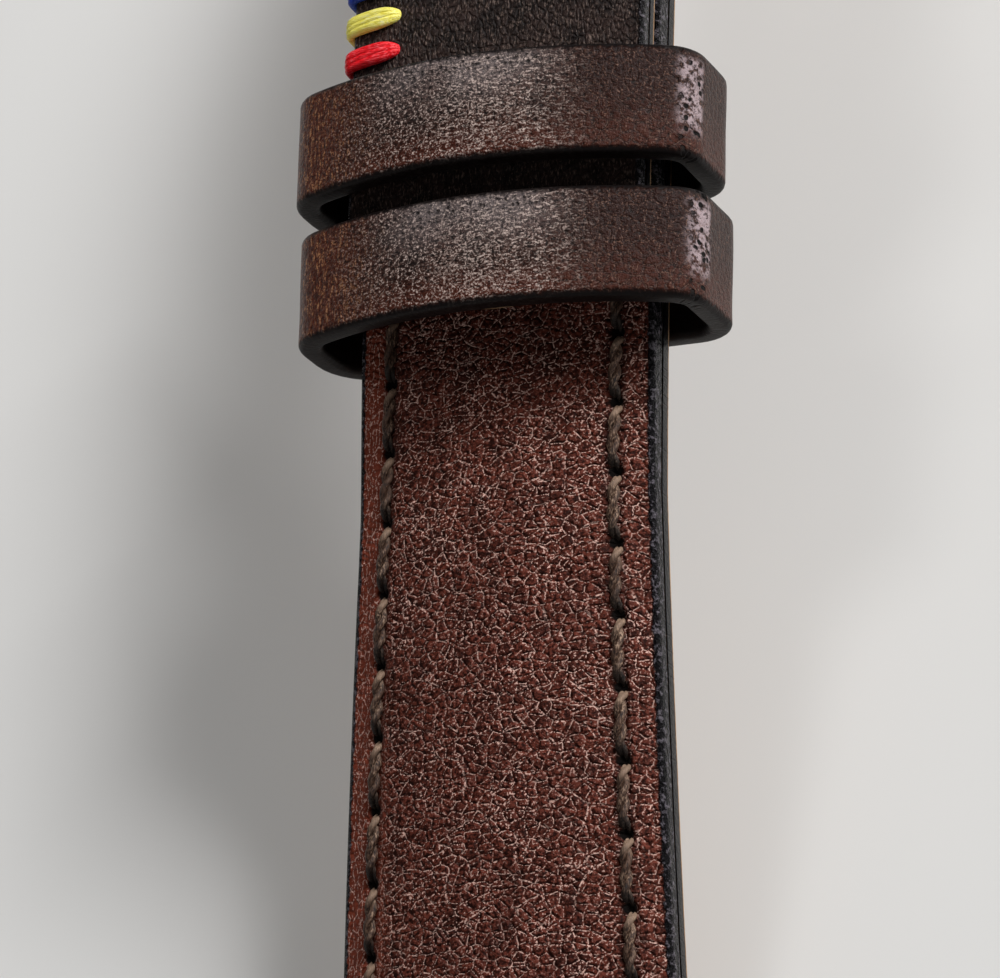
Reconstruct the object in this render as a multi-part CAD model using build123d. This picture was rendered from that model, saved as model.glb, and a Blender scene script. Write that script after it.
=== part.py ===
from build123d import *
import math
import os

os.makedirs("parts", exist_ok=True)

# A buckled leather watch strap, standing as a low arch on its two lug ends.
# X runs across the strap, Z is up. The short piece is at the front (-Y) and the long piece
# goes on over the top to the back. Places on the strap are given as s, the distance along
# the wrist side from the short piece's spring bar, and h, the height above the wrist side.

# Lengths and widths of the two leather pieces
short_length = 75.0
long_length = 120.0
tail_reach = 22.9
lug_width = 20.0
buckle_width = 18.0
taper_far = 41.0
taper_near = 11.0

# How the buckled strap is bent, from the short piece's lug bar to the long piece's
lug_run = 15.0
lug_bend_radius = 80.0
face_bend_radius = 500.0
buckle_run = 10.0
top_bend_radius = 60.0
top_bend_turn = 30.0
back_bend_radius = 150.0

# Layers
lining_thick = 1.0
long_lining_thick = 0.8
skin_thick = 1.1
glue_line = 0.04
edge_seam = 0.9
flat_bow = 0.04

# Section heights of the padded leather: at the edge, at the stitch line and in the middle
edge_height = 2.1
shoulder_height = 3.2
crown_height = 4.5
stitch_margin = 2.1
lug_end_height = 3.8
buckle_end_height = 2.9
buckle_edge_height = 2.5
tail_edge_height = 1.8
tail_crown_height = 2.1
lug_blend = 13.0
thin_from = 20.0
padded_from = 38.0
long_padded = 34.0
long_thin = 54.0
turned_leather = 3.6
filler_start = 6.0
filler_from_bar = 16.0
long_filler_length = 44.0
tail_rest = 0.22
climb_start = 1.0
climb_end = 14.5

# The tail's round tip and the buckle holes
tip_depth = 5.0
hole_radius = 0.95
hole_pitch = 6.5
hole_count = 7
first_hole = 2.05
pulled_hole_length = 3.7
pulled_hole_width = 1.8

# Keepers
keeper_width = 25.0
keeper_thick = 1.4
keeper_band = 6.65
keeper_top = 8.4
keeper_arch_radius = 25.0
keeper_front_corner = 3.2
keeper_back_corner = 2.6
fixed_keeper_from = 9.5
free_keeper_from = 18.0
fixed_keeper_clearance = 0.05
free_keeper_clearance = 0.35
free_keeper_shift = 0.4
keeper_seam_gap = 0.3

# Spring bars
tube_radius = 0.75
tube_bore = 0.5
tunnel_clearance = 0.2
running_clearance = 0.05
shank_length = 3.0
collar_length = 0.6
tip_radius = 0.4
lug_tip_length = 1.3
buckle_tip_length = 1.2
plunger_travel = 1.2
travel_end_gap = 0.1
spring_wall = 0.2

# Buckle
arm_thick = 2.0
arm_clearance = 0.5
collar_gap = 0.2
crossbar_from_bar = 9.8
crossbar_height = 4.45
bar_height = 2.5
bar_round = 0.6
bar_eye_radius = 1.5
eye_round = 0.4
frame_corner = 3.0
blind_end = 0.2
tongue_radius = 0.55
tongue_eye_wall = 0.65
tongue_width = 2.4
tongue_slot_gap = 0.4
tongue_notch_depth = 0.4
tongue_notch_gap = 0.25
tongue_rise_s = 3.1
tongue_rise_h = 5.35
tongue_root_s = 0.9
tongue_root_h = 1.9
tongue_bend = 1.3
tongue_tip_past = 1.7
tongue_rest_gap = 0.1
tongue_sides = 12
tongue_tip_round = 0.2

# Thread
stitch_pitch = 4.14
stitch_length = 3.5
stitch_radius = 0.37
stitch_rise = 0.2
stitch_flat_share = 0.55
stitch_rest = 0.04
right_row_start = 6.36
left_row_start = 7.88
row_lug_end = 3.4
wrap_radius = 0.62
wrap_reach = 3.0
wrap_pitch = 2.15
wrap_last = 7.5
wrap_tilt = 8.0
wrap_bend = 0.7
wrap_sides = 8

# Steps between sections, and how far cutters run past what they cut
section_step = 5.0
overrun = 1.0

# The bend of the buckled strap as runs of (length, turn in degrees)
front_face_run = short_length - lug_run
lug_turn = math.degrees(lug_run / lug_bend_radius)
face_turn = math.degrees(front_face_run / face_bend_radius)
top_run = math.radians(top_bend_turn) * top_bend_radius
back_run = long_length - tail_reach - buckle_run - top_run
back_turn = math.degrees(back_run / back_bend_radius)
runs = [
    (lug_run, lug_turn),
    (front_face_run, face_turn),
    (buckle_run, 0),
    (top_run, top_bend_turn),
    (back_run, back_turn),
]
loop_length = sum(length for length, turn in runs)
lug_nose = lug_end_height / 2
buckle_nose = buckle_end_height / 2
tunnel_radius = tube_radius + tunnel_clearance


def along(s):
    """Place (y, z) and heading of the wrist side at s, before the loop is set upright."""
    y, z, heading = 0, 0, 0
    left = s
    for number, (length, turn) in enumerate(runs):
        last = number == len(runs) - 1
        step = left if last else min(left, length)
        if number == 0 and s < 0:
            step = s
        if turn == 0:
            y += step * math.sin(heading)
            z += step * math.cos(heading)
        else:
            radius = length / math.radians(turn)
            end = heading + step / radius
            y += radius * (math.cos(heading) - math.cos(end))
            z += radius * (math.sin(end) - math.sin(heading))
            heading = end
        left -= step
        if left <= 0:
            break
    return y, z, heading


def bar_centre(s, nose):
    y, z, heading = along(s)
    return y - nose * math.cos(heading), z + nose * math.sin(heading)


# The loop is turned until both lug ends stand on the same level
front_bar = bar_centre(0, lug_nose)
back_bar = bar_centre(loop_length, lug_nose)
lean = math.atan2(back_bar[1] - front_bar[1], back_bar[0] - front_bar[0])


def place(s, h=0, x=0):
    """Point of the standing strap at s, h and x."""
    y, z, heading = along(s)
    y += -h * math.cos(heading) - front_bar[0]
    z += h * math.sin(heading) - front_bar[1]
    return Vector(x, y * math.cos(lean) + z * math.sin(lean), z * math.cos(lean) - y * math.sin(lean) + lug_nose)


def heading_at(s):
    return along(s)[2] + lean


def section_plane(s):
    """Plane across the strap at s, with local X across and local Y outwards from the wrist."""
    heading = heading_at(s)
    back = (0, -math.sin(heading), -math.cos(heading))
    return Plane(origin=place(s), x_dir=(1, 0, 0), z_dir=back)


def side_plane(s, x=0):
    """Plane seen from the strap's side, with local X along the strap and local Y outwards."""
    heading = heading_at(s)
    ahead = (0, math.sin(heading), math.cos(heading))
    return Plane(origin=place(s, 0, x), x_dir=ahead, z_dir=(1, 0, 0))


def face_plane(s, h=0):
    """Plane over the strap's face, with local X across and local Y ahead along the strap."""
    heading = heading_at(s)
    out = (0, -math.cos(heading), math.sin(heading))
    return Plane(origin=place(s, h), x_dir=(1, 0, 0), z_dir=out)


def ease(value, start, end):
    t = min(1, max(0, (value - start) / (end - start)))
    return t * t * (3 - 2 * t)


def mix(a, b, t):
    return a + (b - a) * t


def half_width(s):
    """Half width of either piece, from the distance to the nearer lug bar."""
    from_lug = min(s, loop_length - s)
    t = min(1, max(0, (from_lug - taper_near) / (taper_far - taper_near)))
    return mix(lug_width, buckle_width, t) / 2


def short_heights(s):
    """Heights of the short piece at the edge, the stitch line and the middle."""
    from_bar = short_length - s
    padded = ease(from_bar, thin_from, padded_from)
    edge = mix(buckle_edge_height, edge_height, padded)
    shoulder = mix(buckle_end_height - flat_bow * 2, shoulder_height, padded)
    crown = mix(buckle_end_height, crown_height, padded)
    lug = 1 - ease(s, 0, lug_blend)
    bar = 1 - ease(from_bar, 0, filler_start)
    edge = mix(mix(edge, lug_end_height, lug), buckle_end_height - flat_bow, bar)
    shoulder = mix(mix(shoulder, lug_end_height, lug), buckle_end_height - flat_bow / 2, bar)
    crown = mix(crown, lug_end_height + flat_bow, lug)
    return edge, shoulder, crown


def long_heights(s):
    """Heights of the long piece above its own wrist side."""
    from_lug = loop_length - s
    padded = 1 - ease(from_lug, long_padded, long_thin)
    edge = mix(tail_edge_height, edge_height, padded)
    shoulder = mix(tail_crown_height - flat_bow * 2, shoulder_height, padded)
    crown = mix(tail_crown_height, crown_height, padded)
    lug = 1 - ease(from_lug, 0, lug_blend)
    return mix(edge, lug_end_height, lug), mix(shoulder, lug_end_height, lug), mix(crown, lug_end_height + flat_bow, lug)


def long_lift(s):
    """How far the long piece's wrist side is held off the wrist by the short piece under it."""
    past_bar = s - short_length
    if past_bar <= 0:
        top = short_heights(s)[2]
    else:
        top = buckle_end_height
    return (top + tail_rest) * (1 - ease(past_bar, -climb_start, climb_end))


def leather_section(s, lift, heights):
    """Closed outline of a whole strap piece: flat wrist side, sloped margins and a crown."""
    w = half_width(s)
    edge, shoulder, crown = heights
    corner = (w, lift)
    edge_top = (w, lift + edge)
    seam = (w - stitch_margin, lift + shoulder)
    seam_left = (-w + stitch_margin, lift + shoulder)
    edge_left = (-w, lift + edge)
    corner_left = (-w, lift)
    outline = [
        Line(corner_left, corner),
        Line(corner, edge_top),
        Line(edge_top, seam),
        ThreePointArc(seam, (0, lift + crown), seam_left),
        Line(seam_left, edge_left),
        Line(edge_left, corner_left),
    ]
    return section_plane(s) * make_face(outline)


def filler_section(s, lift, heights, base, grow):
    """Outline of the filler under the skin, grown on every side for the cut that takes it."""
    w = half_width(s)
    edge, shoulder, crown = heights
    slope = (shoulder - edge) / stitch_margin
    low = lift + base - grow
    reach = w - edge_seam + grow
    side = lift + edge - skin_thick - glue_line + slope * edge_seam + grow
    seam_x = w - stitch_margin
    seam = lift + shoulder - skin_thick - glue_line + grow
    top = lift + crown - skin_thick - glue_line + grow
    outline = [
        Line((-reach, low), (reach, low)),
        Line((reach, low), (reach, side)),
        Line((reach, side), (seam_x, seam)),
        ThreePointArc((seam_x, seam), (0, top), (-seam_x, seam)),
        Line((-seam_x, seam), (-reach, side)),
        Line((-reach, side), (-reach, low)),
    ]
    return section_plane(s) * make_face(outline)


def flat_section(s, lift, low, high, grow):
    w = half_width(s) + grow
    return section_plane(s) * Pos(0, lift + (low + high) / 2) * Rectangle(2 * w, high - low)


def stations(start, end, step):
    count = max(2, math.ceil((end - start) / step))
    return [mix(start, end, i / count) for i in range(count + 1)]


def solid_of(shape):
    """The largest solid of a result, as one shape."""
    return max(shape.solids(), key=lambda piece: piece.volume)


def cross_bar(s, h, radius, length, centre_x=0):
    """Round bar along X."""
    return Plane(origin=place(s, h, centre_x), z_dir=(1, 0, 0)) * Cylinder(radius, length)


def nose(s, height, width, ahead):
    """Half-round end over a spring bar; ahead is 1 where the strap's distance s grows past it."""
    disc = Pos(0, height / 2) * Circle(height / 2)
    keep = Pos(ahead * height / 2, height / 2) * Rectangle(height, height)
    return extrude(side_plane(s) * (disc & keep), amount=width / 2, both=True)


def short_leather():
    """Top leather turned round both bars, the filler under it and the lining."""
    lining_ends = (turned_leather, short_length - turned_leather)
    filler_ends = (filler_start, short_length - filler_from_bar)
    marks = sorted(stations(0, short_length, section_step) + list(lining_ends) + list(filler_ends))
    whole = loft([leather_section(s, 0, short_heights(s)) for s in marks], ruled=True)
    whole += nose(0, lug_end_height, lug_width, -1)
    whole += nose(short_length, buckle_end_height, buckle_width, 1)
    lining_marks = [s for s in marks if lining_ends[0] <= s <= lining_ends[1]]
    lining_cut = loft([flat_section(s, 0, -overrun, lining_thick + glue_line, overrun) for s in lining_marks], ruled=True)
    lining = loft([flat_section(s, 0, 0, lining_thick, 0) for s in lining_marks], ruled=True)
    filler_marks = [s for s in marks if filler_ends[0] <= s <= filler_ends[1]]
    base = lining_thick + glue_line
    filler = loft([filler_section(s, 0, short_heights(s), base, 0) for s in filler_marks], ruled=True)
    filler_cut = loft([filler_section(s, 0, short_heights(s), base, glue_line) for s in filler_marks], ruled=True)
    skin = whole - lining_cut - filler_cut
    skin -= cross_bar(0, lug_nose, tunnel_radius, lug_width + overrun * 2)
    skin -= cross_bar(short_length, buckle_nose, tunnel_radius, buckle_width + overrun * 2)
    slot = tongue_width + tongue_slot_gap * 2
    slot_depth = buckle_nose + tongue_eye_wall + tube_radius + tongue_slot_gap + running_clearance
    notch = Pos(0, 0, buckle_nose) * Box(slot, slot_depth * 2, buckle_end_height + overrun * 2)
    skin -= face_plane(short_length) * notch
    return solid_of(skin), solid_of(filler), solid_of(lining)


def tip_cutter():
    """What is cut off the tail's end to leave its round tip."""
    half = buckle_width / 2
    radius = (half * half + tip_depth * tip_depth) / (2 * tip_depth)
    height = (buckle_end_height + tail_crown_height + overrun) * 2
    start = short_length - tail_reach
    block = Pos(0, (tip_depth - overrun) / 2) * Rectangle(buckle_width + overrun * 2, tip_depth + overrun)
    round_end = Pos(0, radius) * Circle(radius)
    return extrude(face_plane(start) * (block - round_end), amount=height, both=True)


def holes():
    """Cutters of the buckle holes; the used one is pulled oval by the tongue."""
    cutters = []
    for number in range(hole_count):
        s = short_length + first_hole + number * hole_pitch
        height = crown_height + buckle_end_height + overrun
        if number == 0:
            shape = Rot(0, 0, 90) * SlotOverall(pulled_hole_length, pulled_hole_width)
        else:
            shape = Circle(hole_radius)
        cutters.append(extrude(face_plane(s, long_lift(s)) * shape, amount=height, both=True))
    return cutters


def long_leather():
    start = short_length - tail_reach
    bend_start = short_length + buckle_run
    marks = stations(start, bend_start, section_step / 2)[:-1]
    lug_stop = loop_length - turned_leather
    filler_ends = (loop_length - long_filler_length, loop_length - filler_start)
    marks += sorted(stations(bend_start, loop_length, section_step) + list(filler_ends) + [lug_stop])
    whole = loft([leather_section(s, long_lift(s), long_heights(s)) for s in marks], ruled=True)
    whole += nose(loop_length, lug_end_height, lug_width, 1)
    lining_marks = [s for s in marks if s <= lug_stop]
    cut_marks = [start - overrun] + lining_marks[1:]
    top = long_lining_thick + glue_line
    lining_cut = loft([flat_section(s, long_lift(s), -overrun, top, overrun) for s in cut_marks], ruled=True)
    lining = loft([flat_section(s, long_lift(s), 0, long_lining_thick, 0) for s in lining_marks], ruled=True)
    filler_marks = [s for s in marks if filler_ends[0] <= s <= filler_ends[1]]
    filler = loft([filler_section(s, 0, long_heights(s), top, 0) for s in filler_marks], ruled=True)
    filler_cut = loft([filler_section(s, 0, long_heights(s), top, glue_line) for s in filler_marks], ruled=True)
    skin = whole - lining_cut - filler_cut
    skin -= cross_bar(loop_length, lug_nose, tunnel_radius, lug_width + overrun * 2)
    for cutter in [tip_cutter()] + holes():
        skin -= cutter
        lining -= cutter
    return solid_of(skin), solid_of(filler), solid_of(lining)


def keeper(from_bar, clearance, shift):
    """Leather loop round the strap: arched front, rounded corners, flat back with a butt seam."""
    s = short_length - from_bar - keeper_band
    half = keeper_width / 2
    drop_x = half - keeper_front_corner
    drop = keeper_arch_radius - math.sqrt(keeper_arch_radius ** 2 - drop_x ** 2)
    back = -clearance - keeper_thick
    side_top = keeper_top - drop
    box_height = side_top - back
    body = Pos(0, back + box_height / 2) * Rectangle(keeper_width, box_height)
    arch = Pos(0, keeper_top - keeper_arch_radius) * Circle(keeper_arch_radius)
    arch &= Pos(0, keeper_top - drop / 2) * Rectangle(drop_x * 2, drop)
    outer = body + arch
    low = outer.vertices().filter_by(lambda v: v.Y < back + overrun)
    outer = fillet(low, keeper_back_corner)
    high = outer.vertices().filter_by(lambda v: abs(v.X) > half - glue_line and v.Y > side_top - overrun)
    outer = fillet(high, keeper_front_corner - glue_line)
    inner = offset(outer, -keeper_thick)
    seam_height = keeper_thick + clearance
    seam = Pos(0, back + seam_height / 2 - clearance) * Rectangle(keeper_seam_gap, seam_height)
    ring = outer - inner - seam
    plane = section_plane(s + keeper_band / 2)
    return Pos(shift, 0, 0) * extrude(plane * ring, amount=keeper_band / 2, both=True)


def spring_bar(s, h, collar_face, tip_length):
    """Tube, its spring and two plungers, on an axis along X."""
    collar_in = collar_face - collar_length
    tube_end = collar_in - plunger_travel - travel_end_gap
    axis = Plane(origin=place(s, h), z_dir=(1, 0, 0))
    tube = axis * (Cylinder(tube_radius, tube_end * 2) - Cylinder(tube_bore, (tube_end + overrun) * 2))
    coil_end = tube_end - shank_length - plunger_travel - travel_end_gap
    coil_radius = tube_bore - running_clearance
    coil = axis * (Cylinder(coil_radius, coil_end * 2) - Cylinder(coil_radius - spring_wall, (coil_end + overrun) * 2))
    shank_start = tube_end - shank_length
    outline = [
        (shank_start, 0),
        (shank_start, tube_bore - running_clearance),
        (collar_in, tube_bore - running_clearance),
        (collar_in, tube_radius),
        (collar_face, tube_radius),
        (collar_face, tip_radius),
        (collar_face + tip_length, tip_radius),
        (collar_face + tip_length, 0),
    ]
    profile = make_face(Polyline(outline, close=True))
    right = revolve(profile, Axis.X)
    right = chamfer(right.edges().sort_by(Axis.X)[-1], tip_radius / 4)
    middle = place(s, h)
    left = mirror(right, Plane.YZ)
    return tube, coil, Pos(*middle) * left, Pos(*middle) * right


def buckle_frame():
    """U-shaped frame of rounded bar: two arms with blind eyes for the bar and a crossbar."""
    inner = buckle_width / 2 + arm_clearance
    arm_x = inner + arm_thick / 2
    rise = math.atan2(crossbar_height - buckle_nose, crossbar_from_bar)
    reach = crossbar_from_bar / math.cos(rise)
    heading = heading_at(short_length) - rise
    out = (0, -math.cos(heading), math.sin(heading))
    frame_plane = Plane(origin=place(short_length, buckle_nose), x_dir=(1, 0, 0), z_dir=out)
    half = arm_thick / 2
    plan = Pos(0, (reach + half) / 2) * Rectangle((arm_x + half) * 2, reach + half)
    plan = fillet(plan.vertices().group_by(Axis.Y)[-1], frame_corner)
    window = Pos(0, (reach - half - overrun) / 2) * Rectangle(inner * 2, reach - half + overrun)
    window = fillet(window.vertices().group_by(Axis.Y)[-1], frame_corner - half)
    body = extrude(frame_plane * (plan - window), amount=bar_height / 2, both=True)
    rims = body.faces().filter_by(lambda face: face.area > reach * arm_thick * 2).edges()
    ends = body.edges().filter_by(lambda edge: edge.length < arm_thick + glue_line)
    body = chamfer([edge for edge in rims if edge not in ends], bar_round)
    for way in (-1, 1):
        eye = cross_bar(short_length, buckle_nose, bar_eye_radius, arm_thick, way * arm_x)
        body += chamfer(eye.edges().filter_by(GeomType.CIRCLE), eye_round)
    eye_hole = tip_radius + running_clearance
    depth = buckle_tip_length - collar_gap + blind_end
    for way in (-1, 1):
        body -= cross_bar(short_length, buckle_nose, eye_hole, depth * 2, way * inner)
    notch_width = (tongue_radius + tongue_notch_gap) * 2
    notch_base = crossbar_height + bar_height / 2 - tongue_notch_depth
    notch = Pos(crossbar_from_bar, notch_base + overrun / 2) * Rectangle(arm_thick * 2, overrun)
    body -= extrude(side_plane(short_length) * notch, amount=notch_width / 2, both=True)
    return solid_of(body)


def buckle_tongue():
    """Round eye on the bar, and a shaft that rises through the hole to the crossbar's notch."""
    bore = tube_radius + running_clearance
    eye_radius = bore + tongue_eye_wall
    side = side_plane(short_length)
    rest_h = crossbar_height + bar_height / 2 - tongue_notch_depth + tongue_rest_gap + tongue_radius
    path = FilletPolyline(
        (tongue_root_s, tongue_root_h),
        (tongue_rise_s, tongue_rise_h),
        (crossbar_from_bar, rest_h),
        (crossbar_from_bar + tongue_tip_past, rest_h),
        radius=tongue_bend,
    )
    path = side * path
    shaft = sweep(Plane(origin=path @ 0, z_dir=path % 0) * RegularPolygon(tongue_radius, tongue_sides), path=path)
    tip = max(shaft.faces(), key=lambda face: (face.center() - side.origin).dot(side.x_dir))
    shaft = chamfer(tip.edges(), tongue_tip_round)
    eye = cross_bar(short_length, buckle_nose, eye_radius, tongue_width)
    tongue = eye + shaft
    tongue -= cross_bar(short_length, buckle_nose, bore, tongue_width + overrun * 2)
    return solid_of(tongue)


def stitch(s, side, heights_at):
    """One flattened stitch, tilted to lie on the shoulder of the margin."""
    flat = stitch_radius * stitch_flat_share
    outline = Polyline((-stitch_radius, 0), (-flat, stitch_rise), (flat, stitch_rise), (stitch_radius, 0), close=True)
    bar = Pos(0, stitch_rest) * make_face(outline)
    ends = []
    for mark in (s - stitch_length / 2, s + stitch_length / 2):
        edge, shoulder, crown = heights_at(mark)
        seam_x = half_width(mark) - stitch_margin
        outside = math.atan2(shoulder - edge, stitch_margin)
        inside = 2 * math.atan2(crown - shoulder, seam_x)
        tilt = -side * math.degrees(outside + inside) / 2
        ends.append(section_plane(mark) * (Pos(side * seam_x, shoulder) * Rot(0, 0, tilt) * bar))
    return loft(ends, ruled=True)


def short_row(start, side):
    count = int((short_length - row_lug_end - start) / stitch_pitch) + 1
    marks = [short_length - start - i * stitch_pitch for i in range(count)]
    return Compound([stitch(s, side, short_heights) for s in marks])


def long_row(side):
    count = int((long_thin - row_lug_end) / stitch_pitch)
    marks = [loop_length - row_lug_end - i * stitch_pitch for i in range(count)]
    return Compound([stitch(s, side, long_heights) for s in marks])


def edge_wrap(number):
    """Coloured thread over the tail's left edge, from the face down the side."""
    s = short_length - wrap_last + number * wrap_pitch
    lift = long_lift(s)
    w = half_width(s)
    edge, shoulder, crown = long_heights(s)
    top = lift + crown + wrap_radius + stitch_rest
    side_x = -w - wrap_radius - stitch_rest
    rise = wrap_reach * math.tan(math.radians(wrap_tilt))
    corner = place(s, top, side_x)
    inner_end = place(s + rise, long_lift(s + rise) + crown + wrap_radius + stitch_rest, -w + wrap_reach)
    lower_end = place(s, lift + stitch_rest, side_x)
    path = FilletPolyline(inner_end, corner, lower_end, radius=wrap_bend)
    profile = Plane(origin=path @ 0, z_dir=path % 0) * RegularPolygon(wrap_radius, wrap_sides)
    return sweep(profile, path=path)


nodes = {}
nodes["short_top_leather"], nodes["short_filler"], nodes["short_lining"] = short_leather()
nodes["long_top_leather"], nodes["long_filler"], nodes["long_lining"] = long_leather()
nodes["short_stitching_left"] = short_row(left_row_start, -1)
nodes["short_stitching_right"] = short_row(right_row_start, 1)
nodes["long_stitching_left"] = long_row(-1)
nodes["long_stitching_right"] = long_row(1)
nodes["fixed_keeper"] = keeper(fixed_keeper_from, fixed_keeper_clearance, 0)
nodes["free_keeper"] = keeper(free_keeper_from, free_keeper_clearance, free_keeper_shift)
for number, colour in enumerate(["red", "yellow", "blue"]):
    nodes[f"{colour}_edge_stitch"] = edge_wrap(number)
nodes["buckle_frame"] = buckle_frame()
nodes["buckle_tongue"] = buckle_tongue()
lug_collar_face = lug_width / 2
buckle_collar_face = buckle_width / 2 + arm_clearance - collar_gap
bars = {
    "short_lug": (0, lug_nose, lug_collar_face, lug_tip_length),
    "long_lug": (loop_length, lug_nose, lug_collar_face, lug_tip_length),
    "buckle": (short_length, buckle_nose, buckle_collar_face, buckle_tip_length),
}
for name, (s, h, collar_face, tip_length) in bars.items():
    tube, coil, left, right = spring_bar(s, h, collar_face, tip_length)
    nodes[f"{name}_bar_tube"] = tube
    nodes[f"{name}_bar_spring"] = coil
    nodes[f"{name}_bar_pin_left"] = left
    nodes[f"{name}_bar_pin_right"] = right

# The origin is at the middle of the base of the whole part
boxes = [shape.bounding_box() for shape in nodes.values()]
middle_y = (min(box.min.Y for box in boxes) + max(box.max.Y for box in boxes)) / 2
for name, shape in nodes.items():
    shape = Pos(0, -middle_y, 0) * shape
    shape.label = name
    export_step(shape, f"parts/{name}.step")

print("loop length", round(loop_length, 2), "lean", round(math.degrees(lean), 2), "middle y", round(middle_y, 3))
print("bars apart", round(math.hypot(back_bar[0] - front_bar[0], back_bar[1] - front_bar[1]), 2))
for name, (s, h, collar_face, tip_length) in bars.items():
    print(name, "bar at", [round(v, 3) for v in (place(s, h) - Vector(0, middle_y, 0))], "tip from", collar_face)
middle_keeper = short_length - free_keeper_from - keeper_band / 2
print("free keeper heading", round(math.degrees(heading_at(middle_keeper)), 3))
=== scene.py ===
import math

import bmesh
import bpy
from mathutils import Matrix, Vector, noise


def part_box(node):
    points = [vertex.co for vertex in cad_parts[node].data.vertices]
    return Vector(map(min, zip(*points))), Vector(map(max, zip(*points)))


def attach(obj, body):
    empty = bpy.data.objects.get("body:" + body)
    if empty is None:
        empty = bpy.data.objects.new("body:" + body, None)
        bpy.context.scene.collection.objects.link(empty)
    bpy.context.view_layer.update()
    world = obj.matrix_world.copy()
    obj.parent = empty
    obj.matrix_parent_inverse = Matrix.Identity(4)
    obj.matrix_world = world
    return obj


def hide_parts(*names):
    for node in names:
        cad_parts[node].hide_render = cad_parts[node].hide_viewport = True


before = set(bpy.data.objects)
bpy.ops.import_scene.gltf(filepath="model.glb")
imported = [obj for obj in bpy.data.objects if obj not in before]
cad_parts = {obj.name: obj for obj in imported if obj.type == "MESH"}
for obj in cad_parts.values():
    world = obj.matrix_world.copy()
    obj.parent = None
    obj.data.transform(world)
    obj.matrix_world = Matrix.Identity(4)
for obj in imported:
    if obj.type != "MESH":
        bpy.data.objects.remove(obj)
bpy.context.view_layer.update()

# A place on the strap is (x, s, h) in millimetres: x across, s along the wrist side from the
# short piece's spring bar, h above the wrist side. Pieces are cut flat in these and then bent.
MM = 0.001

# Strap lengths and widths, as in the part's source
short_length = 75.0
long_length = 120.0
tail_reach = 22.9
lug_width = 20.0
buckle_width = 18.0
taper_far = 41.0
taper_near = 11.0

# Bend of the buckled strap
lug_run = 15.0
lug_bend_radius = 80.0
face_bend_radius = 500.0
buckle_run = 10.0
top_bend_radius = 60.0
top_bend_turn = 30.0
back_bend_radius = 150.0

# Leather thicknesses and section heights
lining_thick = 1.0
long_lining_thick = 0.8
skin_thick = 1.1
glue_line = 0.04
edge_seam = 0.9
flat_bow = 0.04
edge_height = 2.1
shoulder_height = 3.2
crown_height = 4.5
stitch_margin = 2.1
lug_end_height = 3.8
buckle_end_height = 2.9
buckle_edge_height = 2.5
tail_edge_height = 1.8
tail_crown_height = 2.1
lug_blend = 13.0
thin_from = 20.0
padded_from = 38.0
long_padded = 34.0
long_thin = 54.0
turned_leather = 3.6
filler_start = 6.0
filler_from_bar = 16.0
long_filler_length = 44.0
tail_rest = 0.22
climb_start = 1.0
climb_end = 14.5
tip_depth = 5.0

# Holes, tunnels and the slot for the tongue
hole_radius = 0.95
hole_pitch = 6.5
hole_count = 7
first_hole = 2.05
pulled_hole_length = 3.7
pulled_hole_width = 1.8
tunnel_radius = 0.95
notch_width = 3.2
notch_depth = 3.35

# Keeper sizes
keeper_width = 25.0
keeper_thick = 1.4
keeper_band = 6.65
keeper_top = 8.4
keeper_arch_radius = 25.0
keeper_left_corners = (3.2, 3.8)
keeper_right_corners = (2.5, 2.6)
fixed_keeper_from = 9.5
free_keeper_from = 18.0
fixed_keeper_clearance = 0.05
free_keeper_clearance = 0.35
free_keeper_shift = 0.4
keeper_seam_gap = 0.3

# Thread and stitch sizes
stitch_pitch = 4.14
stitch_length = 3.5
right_row_start = 6.36
left_row_start = 7.88
row_lug_end = 3.4
strand_radius = 0.2
twist_radius = 0.18
twist_pitch = 2.3
wrap_reach = 3.05
wrap_pitch = 2.15
wrap_last = 7.5
wrap_tilt = 8.0

# The photograph's viewpoint, seen from a place on the short piece
shot_from_bar = 22.0
shot_tilt = 20.06
shot_side = 21.77
shot_roll = -6.53
shot_distance = 379.7
shot_focus = 6632.0
shot_offset = (-2.69, -9.91)
image_width = 1000
sensor = 36.0

front_face_run = short_length - lug_run
top_run = math.radians(top_bend_turn) * top_bend_radius
back_run = long_length - tail_reach - buckle_run - top_run
runs = [
    (lug_run, lug_run / lug_bend_radius),
    (front_face_run, front_face_run / face_bend_radius),
    (buckle_run, 0),
    (top_run, math.radians(top_bend_turn)),
    (back_run, back_run / back_bend_radius),
]
loop_length = sum(length for length, turn in runs)
lug_nose = lug_end_height / 2
buckle_nose = buckle_end_height / 2


def along(s):
    """Place (y, z) and heading of the wrist side at s, before the strap is set upright."""
    y, z, heading = 0, 0, 0
    left = s
    for number, (length, turn) in enumerate(runs):
        step = left if number == len(runs) - 1 else min(left, length)
        if number == 0 and s < 0:
            step = s
        if turn == 0:
            y += step * math.sin(heading)
            z += step * math.cos(heading)
        else:
            radius = length / turn
            end = heading + step / radius
            y += radius * (math.cos(heading) - math.cos(end))
            z += radius * (math.sin(end) - math.sin(heading))
            heading = end
        left -= step
        if left <= 0:
            break
    return y, z, heading


def bar_centre(s):
    y, z, heading = along(s)
    return y - lug_nose * math.cos(heading), z + lug_nose * math.sin(heading)


front_bar = bar_centre(0)
back_bar = bar_centre(loop_length)
lean = math.atan2(back_bar[1] - front_bar[1], back_bar[0] - front_bar[0])
tube_low, tube_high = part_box("short_lug_bar_tube")
front_bar_y = (tube_low.y + tube_high.y) / 2


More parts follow.
